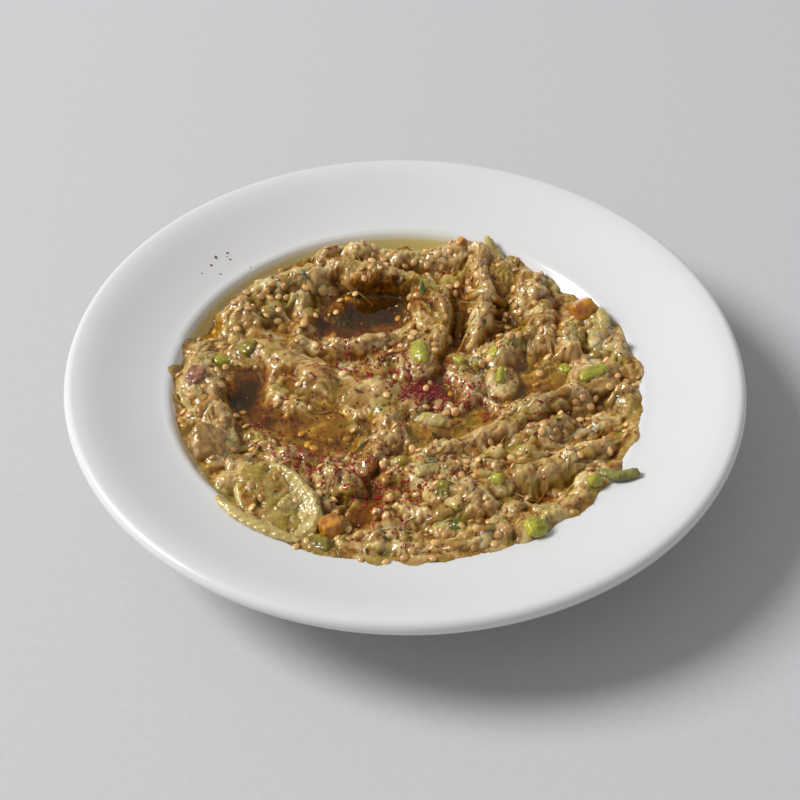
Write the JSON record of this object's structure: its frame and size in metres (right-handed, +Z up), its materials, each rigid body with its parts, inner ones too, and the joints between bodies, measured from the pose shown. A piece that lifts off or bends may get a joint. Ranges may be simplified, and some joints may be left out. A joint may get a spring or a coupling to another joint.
{
  "type": "filled deep plate",
  "caption": "Baba ganoush in a wide white porcelain deep plate: aubergine mash in a swirl of ridges with oil, green pepper and a red spice dusting.",
  "frame": {"origin": "middle of the plate's foot, on the surface that it stands on", "axes": "+X to the right of the eater, +Y away from the eater, +Z up, which is the plate's shortest way"},
  "size_m": [0.24, 0.24, 0.036],
  "materials": {
    "porcelain": "smooth white glaze",
    "mash": "wet, coarse cooked vegetable",
    "flesh": "wet, fibrous cooked vegetable",
    "pepper": "wet green vegetable",
    "olive": "wet dull green vegetable",
    "herb": "wet dark green leaf",
    "amber": "wet glassy orange vegetable",
    "skin": "wet dark vegetable skin",
    "stem": "rough fibrous stem",
    "oil": "clear golden oil"
  },
  "bodies": {
    "root": {"plate": "porcelain", "mash": "mash", "amber_crumb": "amber", "amber_cube_front": "amber", "amber_cube_right": "amber", "folded_strand": "flesh", "grey_lump": "flesh", "leaf": "herb", "oil_centre": "oil", "oil_far_edge": "oil", "oil_hollow": "oil", "oil_left": "oil", "oil_near_edge": "oil", "oil_right": "oil", "olive_piece": "olive", "pale_flake": "flesh", "pale_strand": "flesh", "pale_strip": "flesh", "pepper_bright": "pepper", "pepper_dark": "olive", "pepper_front": "olive", "pepper_herb": "herb", "pepper_left": "pepper", "pepper_long": "pepper", "pepper_lower": "pepper", "pepper_middle": "pepper", "pepper_pale": "pepper", "pepper_pool": "pepper", "pepper_right": "pepper", "pepper_small": "pepper", "pepper_upper": "pepper", "shell_piece": "flesh", "skin_piece": "skin", "stem": "stem", "tall_strand": "flesh"}
  },
  "joints": []
}
